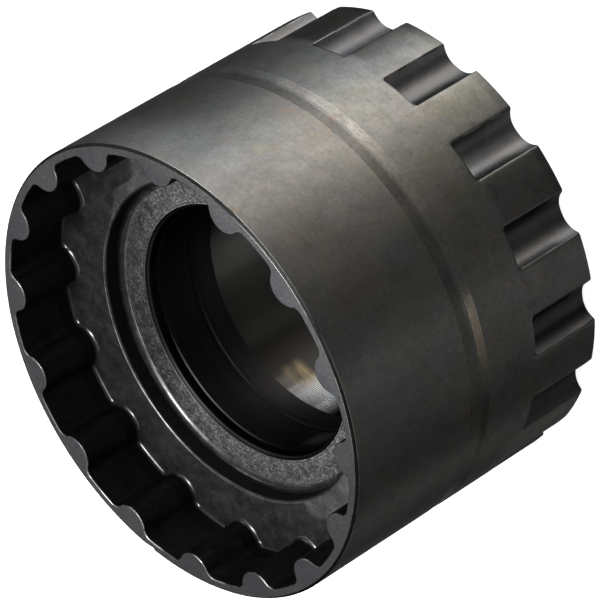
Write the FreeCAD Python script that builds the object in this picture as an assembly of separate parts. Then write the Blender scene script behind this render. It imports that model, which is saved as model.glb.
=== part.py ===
import FreeCAD, Part
import os
from math import sin, cos, pi, sqrt, acos, atan2, tan, radians, degrees

os.makedirs("parts", exist_ok=True)
V = FreeCAD.Vector

# A chainring lockring tool: one short, hollow, turned steel socket.
# It stands on its notched rear end, mouth up, with its axis on +Z.
# All dimensions are in millimetres.

# ---- outside ------------------------------------------------------------
R_OUT = 22.0            # outer cylinder, the usual 44 mm sixteen-notch wrench size
LENGTH = 30.3           # rear end to mouth face
MOUTH_CHAMFER = 0.25    # on the outer edge of the mouth
REAR_CHAMFER_R = 0.18   # radial part of the slim lead-in on the rear outer edge
REAR_CHAMFER_Z = 1.05   # axial part of the same lead-in
EDGE = 0.08             # broken edges of the turned outline

RING_FRONT = 14.2       # shallow turned V ring, measured from the mouth
RING_BACK = 16.5
RING_DEPTH = 0.05

# ---- sixteen lobes inside the mouth --------------------------------------
N = 16
PITCH = 360.0 / N
LOBE_TIP_R = 19.27      # from the axis to the crown of a lobe
LOBE_CROWN = 1.85       # radius of the rounded crown
GROOVE_R = 21.01        # from the axis to the floor of the grooves between lobes
GROOVE_FILLET = 0.85    # radius in the corners of the grooves
LOBE_PHASE = -3.4       # turn of the lobes from the rear notches, degrees
SEAT_DEPTH = 6.42       # mouth face down to the annular seat
SEAT_FILLET = 0.45      # where the lobes and grooves run into the seat
LOBE_EDGE = 0.12        # edge break around the mouth's inner outline

# ---- the step below the seat, and the bore ------------------------------
STEP_R = 15.5           # wall of the second, deeper recess
STEP_EDGE = 0.28        # rounding at the top of that wall
LAND_DEPTH = 8.43       # mouth face down to the rough land round the bore
LAND_FILLET = 0.80      # between the wall and the land
ENTRY_R = 12.20         # short entry of the bore
ENTRY_CHAMFER = 0.30
LEDGE_DEPTH = 9.55      # mouth face down to the small ledge in the bore
BORE_R = 12.05          # main bore, passes a 24 mm spindle
RELIEF_DEPTH = 13.62    # centre of the narrow turned groove in the bore
RELIEF_WIDTH = 0.66
RELIEF_CUT = 0.16
REAR_BORE_DEPTH = 16.28 # mouth face down to the finer turned rear bore
REAR_BORE_R = 12.15
REAR_BORE_CHAMFER = 0.50

# ---- sixteen notches round the rear end ----------------------------------
NOTCH_LENGTH = 7.75     # from the rear end to the notch's closed front wall
NOTCH_FLOOR_R = 20.59   # from the axis to the notch floor
NOTCH_FLAT = 0.20       # half width of the flat part of the floor
NOTCH_CURVE = 1.88      # radius of the floor's rounded sides
NOTCH_END = 0.25        # radius between the closed front wall and the sides


def top(depth):
    """Height of a point that lies the given depth below the mouth face."""
    return LENGTH - depth


def rounded_wire(pts):
    """Closed wire in the XZ plane; each point is (r, z, corner radius)."""
    n = len(pts)
    cut = []
    for i in range(n):
        p0 = V(pts[i - 1][0], 0, pts[i - 1][1])
        p1 = V(pts[i][0], 0, pts[i][1])
        p2 = V(pts[(i + 1) % n][0], 0, pts[(i + 1) % n][1])
        rad = pts[i][2]
        if rad <= 0:
            cut.append((p1, None, p1))
            continue
        a = (p0 - p1).normalize()
        b = (p2 - p1).normalize()
        half = acos(max(-1.0, min(1.0, a.dot(b)))) / 2.0
        t = rad / tan(half)
        bis = (a + b).normalize()
        centre = p1 + bis * (rad / sin(half))
        mid = centre - bis * rad
        cut.append((p1 + a * t, mid, p1 + b * t))
    edges = []
    for i in range(n):
        s, m, e = cut[i]
        if m is not None:
            edges.append(Part.Arc(s, m, e).toShape())
        nxt = cut[(i + 1) % n][0]
        if (nxt - e).Length > 1e-7:
            edges.append(Part.LineSegment(e, nxt).toShape())
    return Part.Wire(edges)


def polar(r, deg):
    return V(r * cos(radians(deg)), r * sin(radians(deg)), 0)


# ---- turned blank ---------------------------------------------------------
ring_mid = (RING_FRONT + RING_BACK) / 2.0
profile = [
    (STEP_R + STEP_EDGE, LENGTH, 0),
    (R_OUT - MOUTH_CHAMFER, LENGTH, EDGE),
    (R_OUT, top(MOUTH_CHAMFER), EDGE),
    (R_OUT, top(RING_FRONT), 0),
    (R_OUT - RING_DEPTH, top(ring_mid), 0),
    (R_OUT, top(RING_BACK), 0),
    (R_OUT, REAR_CHAMFER_Z, EDGE),
    (R_OUT - REAR_CHAMFER_R, 0, 2 * EDGE),
    (REAR_BORE_R + REAR_BORE_CHAMFER, 0, EDGE),
    (REAR_BORE_R, REAR_BORE_CHAMFER, EDGE),
    (REAR_BORE_R, top(REAR_BORE_DEPTH), 0),
    (BORE_R, top(REAR_BORE_DEPTH), 0.04),
    (BORE_R, top(RELIEF_DEPTH + RELIEF_WIDTH / 2), 0.05),
    (BORE_R + RELIEF_CUT, top(RELIEF_DEPTH + RELIEF_WIDTH / 4), 0.10),
    (BORE_R + RELIEF_CUT, top(RELIEF_DEPTH - RELIEF_WIDTH / 8), 0.10),
    (BORE_R, top(RELIEF_DEPTH - RELIEF_WIDTH / 2), 0.10),
    (BORE_R, top(LEDGE_DEPTH + (ENTRY_R - BORE_R)), 0.06),
    (ENTRY_R, top(LEDGE_DEPTH), 0.06),
    (ENTRY_R, top(LAND_DEPTH + ENTRY_CHAMFER), 0.05),
    (ENTRY_R + ENTRY_CHAMFER, top(LAND_DEPTH), 0.05),
    (STEP_R, top(LAND_DEPTH), LAND_FILLET),
    (STEP_R, top(SEAT_DEPTH), 0),
]
# The wall above the seat is only a margin for the lobed cut; the rounding at
# the top of the step runs from the wall into the seat's plane.
wire_pts = profile[:-1] + [
    (STEP_R, top(SEAT_DEPTH + STEP_EDGE), 0),
]
pre = rounded_wire(wire_pts + [(STEP_R + STEP_EDGE, top(SEAT_DEPTH), 0)])
edges = []
for e in pre.Edges:
    a, b = e.Vertexes[0].Point, e.Vertexes[-1].Point
    lo, hi = sorted((a.z, b.z))
    if (abs(lo - top(SEAT_DEPTH + STEP_EDGE)) < 1e-6
            and abs(hi - top(SEAT_DEPTH)) < 1e-6):
        c = V(STEP_R + STEP_EDGE, 0, top(SEAT_DEPTH + STEP_EDGE))
        m = c + V(-STEP_EDGE * sqrt(0.5), 0, STEP_EDGE * sqrt(0.5))
        edges.append(Part.Arc(V(STEP_R, 0, top(SEAT_DEPTH + STEP_EDGE)), m,
                              V(STEP_R + STEP_EDGE, 0, top(SEAT_DEPTH))).toShape())
    else:
        edges.append(e)
blank = Part.Face(Part.Wire(Part.sortEdges(edges)[0])).revolve(V(0, 0, 0), V(0, 0, 1), 360)

# ---- lobed recess ---------------------------------------------------------
crown_c = LOBE_TIP_R + LOBE_CROWN            # centre of each crown arc
fillet_c = GROOVE_R - GROOVE_FILLET          # centre of each groove corner
reach = LOBE_CROWN + GROOVE_FILLET
swing = degrees(acos((crown_c ** 2 + fillet_c ** 2 - reach ** 2)
                     / (2 * crown_c * fillet_c)))


def lobed_wire(z, grow=0.0):
    """Outline of the recess at height z, opened outward by grow."""
    crown = LOBE_CROWN - grow
    fil = GROOVE_FILLET + grow
    gr = GROOVE_R + grow
    out = []
    for k in range(N):
        a = LOBE_PHASE + k * PITCH
        cc = polar(crown_c, a)
        fl, fr = polar(fillet_c, a - swing), polar(fillet_c, a + swing)
        tl = cc + (fl - cc).normalize() * crown
        tr = cc + (fr - cc).normalize() * crown
        tip = polar(crown_c - crown, a)
        rl, rr = polar(gr, a - swing), polar(gr, a + swing)

        def mid(c, p, q, r):
            return c + ((p - c) + (q - c)).normalize() * r
        out.append(Part.Arc(rl, mid(fl, rl, tl, fil), tl).toShape())
        out.append(Part.Arc(tl, tip, tr).toShape())
        out.append(Part.Arc(tr, mid(fr, tr, rr, fil), rr).toShape())
        nxt = polar(gr, a + PITCH - swing)
        out.append(Part.Arc(rr, polar(gr, a + PITCH / 2), nxt).toShape())
    w = Part.Wire(out)
    w.translate(V(0, 0, z))
    return w


recess = Part.Face(lobed_wire(top(SEAT_DEPTH))).extrude(V(0, 0, SEAT_DEPTH + 1.0))
floor_edges = [e for e in recess.Edges
               if abs(e.BoundBox.ZMin - top(SEAT_DEPTH)) < 1e-4
               and abs(e.BoundBox.ZMax - top(SEAT_DEPTH)) < 1e-4]
recess = recess.makeFillet(SEAT_FILLET, floor_edges)
body = blank.cut(recess)

# edge break around the inner outline of the mouth face
rim_edges = [e for e in body.Edges
             if abs(e.BoundBox.ZMin - LENGTH) < 1e-4
             and abs(e.BoundBox.ZMax - LENGTH) < 1e-4
             and e.Vertexes[0].Point.sub(V(0, 0, LENGTH)).Length < GROOVE_R + 0.05]
try:
    body = body.makeChamfer(LOBE_EDGE, rim_edges)
except Exception as err:
    print("rim edge break left out:", err)

# ---- rear notches ---------------------------------------------------------
# Each notch is a rounded trough. Its rounded sides rise almost to the rim and
# run straight through it; the front wall meets sides and floor in a small radius.
yc = NOTCH_FLOOR_R + NOTCH_CURVE
y_arc = R_OUT - 0.12                         # top of the rounded sides
a_end = acos((yc - y_arc) / NOTCH_CURVE)


def trough(a):
    return V(yc - NOTCH_CURVE * cos(a), NOTCH_FLAT + NOTCH_CURVE * sin(a), 0)


def flip(p):
    return V(p.x, -p.y, 0)


q0, q1, q2 = trough(0), trough(a_end / 2.0), trough(a_end)
q3 = V(R_OUT + 1.0, q2.y + (R_OUT + 1.0 - q2.x) / tan(a_end), 0)
notch_wire = Part.Wire([
    Part.LineSegment(flip(q3), flip(q2)).toShape(),
    Part.Arc(flip(q2), flip(q1), flip(q0)).toShape(),
    Part.LineSegment(flip(q0), q0).toShape(),
    Part.Arc(q0, q1, q2).toShape(),
    Part.LineSegment(q2, q3).toShape(),
    Part.LineSegment(q3, flip(q3)).toShape(),
])
notch = Part.Face(notch_wire).extrude(V(0, 0, NOTCH_LENGTH + 1.0))
notch.translate(V(0, 0, -1.0))
front_edges = [e for e in notch.Edges
               if e.BoundBox.ZMin > NOTCH_LENGTH - 1e-4
               and e.BoundBox.XMin < R_OUT + 0.9]
notch = notch.makeFillet(NOTCH_END, front_edges)
cutters = []
for k in range(N):
    c = notch.copy()
    c.rotate(V(0, 0, 0), V(0, 0, 1), k * PITCH)
    cutters.append(c)
body = body.cut(Part.makeCompound(cutters))

body = body.removeSplitter()
if body.ShapeType == "Compound" and len(body.Solids) == 1:
    body = body.Solids[0]
bb = body.BoundBox
print("solids", len(body.Solids), "valid", body.isValid(), "volume", body.Volume)
print("box", bb.XMin, bb.XMax, bb.YMin, bb.YMax, bb.ZMin, bb.ZMax)
body.exportStep("parts/tool_body.step")
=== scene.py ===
import bpy
import math
import numpy as np
from mathutils import Matrix, Vector


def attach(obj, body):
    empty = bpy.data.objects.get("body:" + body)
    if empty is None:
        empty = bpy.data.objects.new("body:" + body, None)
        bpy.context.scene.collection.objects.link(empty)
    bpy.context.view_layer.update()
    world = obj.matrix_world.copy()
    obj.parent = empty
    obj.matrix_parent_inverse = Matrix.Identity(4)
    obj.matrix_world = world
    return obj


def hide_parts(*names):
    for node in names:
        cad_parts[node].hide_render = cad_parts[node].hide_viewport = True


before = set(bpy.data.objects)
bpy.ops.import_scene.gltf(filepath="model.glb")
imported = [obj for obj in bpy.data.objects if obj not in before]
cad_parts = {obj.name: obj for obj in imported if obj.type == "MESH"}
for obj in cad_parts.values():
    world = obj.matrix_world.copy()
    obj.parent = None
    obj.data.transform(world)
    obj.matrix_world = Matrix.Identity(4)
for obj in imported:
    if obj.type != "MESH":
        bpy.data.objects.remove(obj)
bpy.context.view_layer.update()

# ---- dimensions in millimetres, the same as the CAD's ----------------------
R_OUT, LENGTH = 22.0, 30.3
MOUTH_CHAMFER, EDGE = 0.25, 0.08
REAR_CHAMFER_R, REAR_CHAMFER_Z = 0.07, 1.05
RING_FRONT, RING_BACK, RING_DEPTH = 14.2, 16.5, 0.05
N, PITCH = 16, 360.0 / 16
LOBE_TIP_R, LOBE_CROWN, GROOVE_R, GROOVE_FILLET = 19.27, 1.85, 21.01, 0.85
LOBE_PHASE = -3.4
SEAT_DEPTH, SEAT_FILLET, RIM_BREAK = 6.42, 0.45, 0.12
STEP_R, STEP_EDGE, LAND_DEPTH, LAND_FILLET = 15.5, 0.28, 8.43, 0.80
ENTRY_R, ENTRY_CHAMFER, LEDGE_DEPTH, BORE_R = 12.20, 0.30, 9.55, 12.05
RELIEF_DEPTH, RELIEF_WIDTH, RELIEF_CUT = 13.62, 0.66, 0.16
REAR_BORE_DEPTH, REAR_BORE_R, REAR_BORE_CHAMFER = 16.28, 12.15, 0.50
NOTCH_LENGTH, NOTCH_FLOOR_R, NOTCH_FLAT = 7.75, 20.59, 0.20
NOTCH_CURVE, NOTCH_END, NOTCH_BREAK = 1.88, 0.25, 0.22

HALF = 20                 # columns in half a pitch
M = 2 * HALF              # columns in a pitch
COLS = N * M


def top(depth):
    return LENGTH - depth


# ---- outlines of one pitch --------------------------------------------------
def lobe_half():
    """Half a pitch of the lobed outline, from a lobe's tip to the middle of a
    groove: points and unit normals that point into the opening."""
    cc = LOBE_TIP_R + LOBE_CROWN
    fc = GROOVE_R - GROOVE_FILLET
    reach = LOBE_CROWN + GROOVE_FILLET
    swing = math.acos((cc ** 2 + fc ** 2 - reach ** 2) / (2 * cc * fc))
    f = np.array([fc * math.cos(swing), fc * math.sin(swing)])
    d = (f - np.array([cc, 0])) / reach
    b1 = math.atan2(d[1], -d[0])
    pts, nor = [], []
    for b in np.linspace(0, b1, 9):
        n = np.array([-math.cos(b), math.sin(b)])
        pts.append(np.array([cc, 0]) + LOBE_CROWN * n)
        nor.append(n)
    a0 = math.atan2(-d[1], -d[0])
    for a in np.linspace(a0, swing, 9)[1:]:
        o = np.array([math.cos(a), math.sin(a)])
        pts.append(f + GROOVE_FILLET * o)
        nor.append(-o)
    for a in np.linspace(swing, math.radians(PITCH / 2), 5)[1:]:
        o = np.array([math.cos(a), math.sin(a)])
        pts.append(GROOVE_R * o)
        nor.append(-o)
    return np.array(pts), np.array(nor)


def mirror_pitch(p):
    """Points of half a pitch (HALF + 1, 2) -> M points from -HALF+1 to +HALF."""
    q = p[1:HALF][::-1] * np.array([1, -1])
    return np.vstack([q, p])


def all_round(p, phase=0.0):
    """Points of one pitch, M rows -> COLS rows round the axis."""
    out = []
    for k in range(N):
        a = math.radians(phase + k * PITCH)
        c, s = math.cos(a), math.sin(a)
        out.append(np.stack([p[:, 0] * c - p[:, 1] * s, p[:, 0] * s + p[:, 1] * c], 1))
    return np.vstack(out)


LP, LN = (mirror_pitch(a) for a in lobe_half())


def lobed(grow):
    """The lobed outline opened outward by grow, all round."""
    return all_round(LP - grow * LN, LOBE_PHASE)


A_END = math.acos((NOTCH_FLOOR_R + NOTCH_CURVE - (R_OUT - 0.12)) / NOTCH_CURVE)
NY = NOTCH_FLOOR_R + NOTCH_CURVE


def trough_at(s):
    """Point and normal (out of the steel) of the notch's half outline, at
    length s from its middle."""
    if s <= NOTCH_FLAT:
        return np.array([NOTCH_FLOOR_R, s]), np.array([1.0, 0.0])
    a = (s - NOTCH_FLAT) / NOTCH_CURVE
    if a <= A_END:
        return (np.array([NY - NOTCH_CURVE * math.cos(a), NOTCH_FLAT + NOTCH_CURVE * math.sin(a)]),
                np.array([math.cos(a), -math.sin(a)]))
    e = s - NOTCH_FLAT - NOTCH_CURVE * A_END
    p, n = trough_at(NOTCH_FLAT + NOTCH_CURVE * A_END - 1e-9)
    return p + e * np.array([math.sin(A_END), math.cos(A_END)]), n


def rim_s(radius):
    """Length along the half outline at which it reaches the radius."""
    lo, hi = 0.5, 4.0
    for _ in range(50):
        m = (lo + hi) / 2
        if np.linalg.norm(trough_at(m)[0]) < radius:
            lo = m
        else:
            hi = m
    return lo


NEAR = (0.22, 0.115, 0.045)
# the shallow ring: two slopes and a narrow bottom, as the photo's bands show
RING_Z = (top(RING_BACK), 14.74, 15.08, top(RING_FRONT) + .08)
RING_DROP = 0.043
CHAMFER_SEEN = 0.24


def notch_half(radius):
    """Half a pitch at the notches, at the given outer radius: trough columns,
    the rim, and the land to the middle between two notches."""
    sr = rim_s(radius)
    ss = [0.0, NOTCH_FLAT] + list(np.linspace(NOTCH_FLAT, sr - NEAR[0], 8)[1:]) + [sr - NEAR[1], sr - NEAR[2], sr]
    pts = [trough_at(s)[0] for s in ss]
    nor = [trough_at(s)[1] for s in ss]
    a_r = math.atan2(pts[-1][1], pts[-1][0])
    da = [NEAR[2] / radius, NEAR[1] / radius]
    a_in = a_r + NEAR[0] * 1.3 / radius
    aa = [a_r + d for d in da] + list(np.linspace(a_in, math.radians(PITCH / 2), 7))
    for a in aa:
        pts.append(radius * np.array([math.cos(a), math.sin(a)]))
        nor.append(np.array([math.cos(a), math.sin(a)]))
    return np.array(pts), np.array(nor), sr


HP, HN, S_RIM = notch_half(R_OUT)
N_TR = 12                 # half's trough columns: 0 .. 11, the last one is the rim
assert len(HP) == HALF + 1, len(HP)


# ---- distance field of the outside ------------------------------------------
def outer_radius(z):
    """Radius of the turned outside, without edge breaks."""
    r = np.full_like(z, R_OUT)
    r = r - np.interp(z, RING_Z, (0, RING_DROP, RING_DROP, 0))
    r = r - REAR_CHAMFER_R * np.clip(1 - z / REAR_CHAMFER_Z, 0, None)
    return r


def round_and(a, b, e):
    u = np.maximum(a + e, 0)
    w = np.maximum(b + e, 0)
    return np.minimum(-e, np.maximum(a, b)) + np.sqrt(u * u + w * w)


def notch_field(p):
    """Distance inside the nearest notch, negative in the open space."""
    x, y, z = p[:, 0], p[:, 1], p[:, 2]
    ang = np.arctan2(y, x)
    pit = math.radians(PITCH)
    k = np.round(ang / pit)
    c, s = np.cos(-k * pit), np.sin(-k * pit)
    u, v = x * c - y * s, np.abs(x * s + y * c)
    # distance to the trough's outline, negative inside the notch
    dy = v - NOTCH_FLAT
    arc = np.sqrt((u - NY) ** 2 + np.maximum(dy, 0) ** 2) - NOTCH_CURVE
    side_p = np.array([NY - NOTCH_CURVE * math.cos(A_END), NOTCH_FLAT + NOTCH_CURVE * math.sin(A_END)])
    side_d = np.array([math.sin(A_END), math.cos(A_END)])
    side = (v - side_p[1]) * side_d[0] - (u - side_p[0]) * side_d[1]
    ahead = (u - side_p[0]) * side_d[0] + (v - side_p[1]) * side_d[1]
    f2 = np.where(ahead > 0, side, np.where(dy > 0, arc, NOTCH_FLOOR_R - u))
    return round_and(f2, z - NOTCH_LENGTH, NOTCH_END)


def outside_field(p, rear_break=0.12):
    z = p[:, 2]
    r = np.hypot(p[:, 0], p[:, 1])
    slope = np.where(z < REAR_CHAMFER_Z, math.cos(math.atan(REAR_CHAMFER_R / REAR_CHAMFER_Z)), 1.0)
    cyl = (r - outer_radius(z)) * slope
    body = round_and(cyl, -notch_field(p), NOTCH_BREAK)
    return round_and(body, -z, rear_break)


def project(p, field, steps=6, most=0.25):
    """Moves points on to the field's zero along its gradient."""
    p = p.copy()
    h = 1e-4
    start = p.copy()
    for _ in range(steps):
        f = field(p)
        g = np.stack([(field(p + d) - field(p - d)) / (2 * h)
                      for d in np.eye(3) * h], 1)
        gg = np.maximum((g * g).sum(1), 0.05)
        p = p - (f / gg)[:, None] * g
        off = p - start
        far = np.linalg.norm(off, axis=1)
        k = np.minimum(1, most / np.maximum(far, 1e-9))
        p = start + off * k[:, None]
    return p


# ---- the closed loop of rows -------------------------------------------------
UNI = np.radians(np.arange(COLS) * PITCH / M - (HALF - 1) * PITCH / M)


def unwrap(a):
    return np.unwrap(a)


def ang_of(p):
    return unwrap(np.arctan2(p[:, 1], p[:, 0]))


def ring_of(r, z, ang):
    return np.stack([r * np.cos(ang), r * np.sin(ang), np.full(len(ang), z)], 1)


def arc_rows(r0, z0, r1, z1, cr, cz, n, ends=(True, True)):
    """Points of an arc between two points round a centre, as (r, z)."""
    a0, a1 = math.atan2(z0 - cz, r0 - cr), math.atan2(z1 - cz, r1 - cr)
    if a1 - a0 > math.pi:
        a1 -= 2 * math.pi
    if a0 - a1 > math.pi:
        a1 += 2 * math.pi
    rad = math.hypot(r0 - cr, z0 - cz)
    out = [(cr + rad * math.cos(a), cz + rad * math.sin(a)) for a in np.linspace(a0, a1, n + 1)]
    return out[0 if ends[0] else 1: None if ends[1] else -1]


def corner(pts):
    """Rows along a section: pts are (r, z, corner radius, arc segments, straight
    segments to the next point)."""
    n = len(pts)
    out = []
    for i, (r, z, rad, seg, run) in enumerate(pts):
        here = np.array([r, z])
        if 0 < i < n - 1 and rad > 0:
            a = np.array(pts[i - 1][:2]) - here
            b = np.array(pts[i + 1][:2]) - here
            a, b = a / np.linalg.norm(a), b / np.linalg.norm(b)
            half = math.acos(max(-1, min(1, float(a @ b)))) / 2
            t = rad / math.tan(half)
            bis = (a + b) / np.linalg.norm(a + b)
            c = here + bis * rad / math.sin(half)
            s, e = here + a * t, here + b * t
            arc = arc_rows(s[0], s[1], e[0], e[1], c[0], c[1], seg)
        else:
            arc = [tuple(here)]
        if out:
            p0, p1 = np.array(out[-1]), np.array(arc[0])
            prev_run = pts[i - 1][4]
            for k in range(1, prev_run):
                out.append(tuple(p0 + (p1 - p0) * k / prev_run))
        out += arc
    return out


def build_tool():
    """Vertices (mm), quads, and per-vertex and per-face data."""
    rows, zone, wear = [], [], []
    z_seat = top(SEAT_DEPTH)

    def add(p, name, w=0.0):
        rows.append(p)
        zone.append(name)
        wear.append(np.full(len(p), float(w)) if np.isscalar(w) else w)

    lobe0 = lobed(0.0)
    a_lobe = ang_of(lobe0)
    face_a = unwrap(a_lobe * 0.35 + (UNI + math.radians(LOBE_PHASE)) * 0.65)

    # 1. rounded inner edge of the mouth, from the wall up on to the face
    for k, b in enumerate(np.linspace(0, math.pi / 2, 6)):
        g = RIM_BREAK * (1 - math.cos(b))
        z = LENGTH - RIM_BREAK * (1 - math.sin(b))
        p = lobed(g)
        add(np.column_stack([p, np.full(COLS, z)]), "rim", [0.0, .5, 1, 1, .6, 0.1][k])
    inner = lobed(RIM_BREAK + 0.08)
    add(np.column_stack([inner, np.full(COLS, LENGTH)]), "face", 0.0)
    # 2. face to the outer chamfer
    outer_sec = corner([
        (21.4, LENGTH, 0, 0, 1),
        (R_OUT - CHAMFER_SEEN, LENGTH, 0.07, 3, 1),
        (R_OUT, top(CHAMFER_SEEN), 0.07, 3, 1),
        (R_OUT, top(0.9), 0, 0, 4),
        (R_OUT, top(RING_FRONT - 0.12), 0, 0, 1),
    ])[1:]
    start = np.column_stack([inner, np.full(COLS, LENGTH)])
    first = ring_of(outer_sec[0][0] - 0.09, LENGTH, face_a)
    for f in (0.35, 0.7):
        add(start * (1 - f) + first * f, "face")
    add(first, "face")
    n_sec = len(outer_sec)
    wear_sec = {0: .2, 1: .5, 2: .5, 3: .0, 4: .0, 5: .95, 6: .95, 7: .3}
    for i, (r, z) in enumerate(outer_sec):
        # a face belongs to its first row, so the wall begins with row 7
        name = "chamfer" if i <= 6 else "wall"
        add(ring_of(r, z, face_a), name, wear_sec.get(i, 0.0))
    # 3. the ring and the wall to the notches; columns turn over to the notches'
    a_notch0 = ang_of(all_round(mirror_pitch(HP)))
    ring = []
    zb, z1, z2, zf = RING_Z
    for z in (zf + .03, zf - .03, zf - .4, z2 + .3, z2 + .03, z2 - .03, z1 + .03, z1 - .03, zb + .4, zb + .03, zb - .03):
        ring.append((float(outer_radius(np.array([z]))[0]), z, "ring"))
    ring += [(R_OUT, zb - .45, "wall"), (R_OUT, 11.6, "wall"), (R_OUT, 9.8, "wall"), (R_OUT, 8.6, "wall")]
    for r, z, name in ring:
        f = (zf - z) / (zf - 8.6)
        f = min(1, max(0, f))
        add(ring_of(r, z, face_a * (1 - f) + a_notch0 * f), name)
    # 4. front of the notches
    fr = [("wall", 8.05)]
    path_n = 11
    half_paths = []
    for j in range(HALF + 1):
        s_of = None
        if j < N_TR - 1:
            # take the trough's point and its normal
            pj, nj = HP[j], HN[j]
            # fillet from the trough, turned up until it meets the outside
            pts = []
            for al in np.linspace(0, math.pi / 2, 31):
                q = pj + nj * NOTCH_END * (1 - math.cos(al))
                z = NOTCH_LENGTH - NOTCH_END * (1 - math.sin(al))
                if np.hypot(*q) > R_OUT:
                    break
                pts.append((q[0], q[1], z))
            q = pts[-1]
            full = len(pts) == 31
            if full:
                xe = math.sqrt(R_OUT ** 2 - q[1] ** 2)
                wall = xe - q[0]
                edge = (xe, q[1], NOTCH_LENGTH)
            else:
                wall = 0.0
                k = R_OUT / math.hypot(q[0], q[1])
                edge = (q[0] * k, q[1] * k, q[2])
            arr = np.array(pts + ([edge] if full or True else []))
            seg = np.linalg.norm(np.diff(arr, axis=0), axis=1)
            cum = np.concatenate([[0], np.cumsum(seg)])
            tot = cum[-1]
            if tot > 0.62:
                lf = cum[30]
                marks = [tot, tot - .05, tot - .12, tot - .12 - (tot - .12 - lf) * .4, lf + (tot - .12 - lf) * .25,
                         lf, lf * .75, lf * .5, lf * .25, 0.0]
            else:
                marks = list(np.linspace(tot, 0, 10))
            path = [[np.interp(m, cum, arr[:, c]) for c in range(3)] for m in marks]
            ze = edge[2]
            oe = np.array(edge[:2])
            path = [[oe[0], oe[1], ze + .12], [oe[0], oe[1], ze + .05]] + path
        else:
            pj = HP[j]
            zz = np.linspace(NOTCH_LENGTH + .0, NOTCH_LENGTH - NOTCH_END, 12)
            if j == N_TR - 1:
                zz = np.linspace(NOTCH_LENGTH - NOTCH_END + .09, NOTCH_LENGTH - NOTCH_END, 12)
            elif j < N_TR + 2:
                zz = np.linspace(NOTCH_LENGTH - NOTCH_END + .16, NOTCH_LENGTH - NOTCH_END, 12)
            path = [[pj[0], pj[1], z] for z in zz]
        half_paths.append(path)
    hp = np.array(half_paths)                       # (HALF+1, 12, 3)
    row8 = all_round(mirror_pitch(HP * (R_OUT / np.hypot(HP[:, 0], HP[:, 1]))[:, None]))
    a8 = ang_of(row8)
    add(ring_of(R_OUT, 8.05, a8), "wall")
    wear_path = [.35, .8, 1, .8, .35, 0, 0, 0, 0, 0, 0, 0]
    col_wear = np.zeros(HALF + 1)
    col_wear[N_TR - 3:N_TR + 2] = [.8, 1, 1, 1, .8][:5]
    col_wear[N_TR - 4] = 0.0
    near_col = np.zeros(HALF + 1)
    near_col[N_TR - 3:N_TR + 2] = 1

    def spread_half(v):
        return np.tile(np.concatenate([v[1:HALF][::-1], v]), N)

    for i in range(hp.shape[1]):
        xy = all_round(mirror_pitch(hp[:, i, :2]))
        zz = spread_half(hp[:, i, 2])
        p = np.column_stack([xy, zz])
        p = project(p, outside_field)
        w = np.where(np.arange(HALF + 1) < N_TR, wear_path[i], 0.0)
        w = np.maximum(w, near_col * 0.8)
        add(p, "front" if i >= 1 else "wall", spread_half(w))
    # 5. down the notches
    for z in (7.35, 5.6, 3.6, 2.0, REAR_CHAMFER_Z + .12, REAR_CHAMFER_Z - .12, 0.6, 0.19, 0.06, 0.018):
        rad = float(outer_radius(np.array([z]))[0])
        h, _, _ = notch_half(rad)
        xy = all_round(mirror_pitch(h))
        p = np.column_stack([xy, np.full(COLS, z)])
        p = project(p, outside_field)
        w = near_col * 1.0
        if z < .12:
            w = np.maximum(w, .6)
        add(p, "notched", spread_half(w))
    # 6. rear end
    h, _, sr = notch_half(float(outer_radius(np.array([0.0]))[0]))
    d = np.gradient(h, axis=0)
    d[0] = [0, 1]
    nrm = np.column_stack([d[:, 1], -d[:, 0]])
    nrm /= np.linalg.norm(nrm, axis=1)[:, None]
    # into the steel: against the normal that leads out of it
    for inset, w in ((0.018, .6), (0.06, .3), (0.19, 0.0)):
        q = h.copy()
        for j in range(HALF + 1):
            lim = inset
            gap = abs(j - (N_TR - 1))
            if gap == 0:
                lim = inset * 1.15
            elif gap <= 3:
                lim = min(inset, [0, .05, .1, .2][gap] + inset * .45)
            q[j] = h[j] - nrm[j] * lim
        xy = all_round(mirror_pitch(q))
        p = np.column_stack([xy, np.zeros(COLS)])
        p = project(p, outside_field)
        add(p, "rear", w)
    last = rows[-1]
    inner_r = REAR_BORE_R + REAR_BORE_CHAMFER
    target = ring_of(inner_r + .08, 0.0, UNI)
    for f in (0.25, 0.6, 1.0):
        q = last * (1 - f) + target * f
        q[:, 2] = 0.0
        add(q, "rear")
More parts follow.
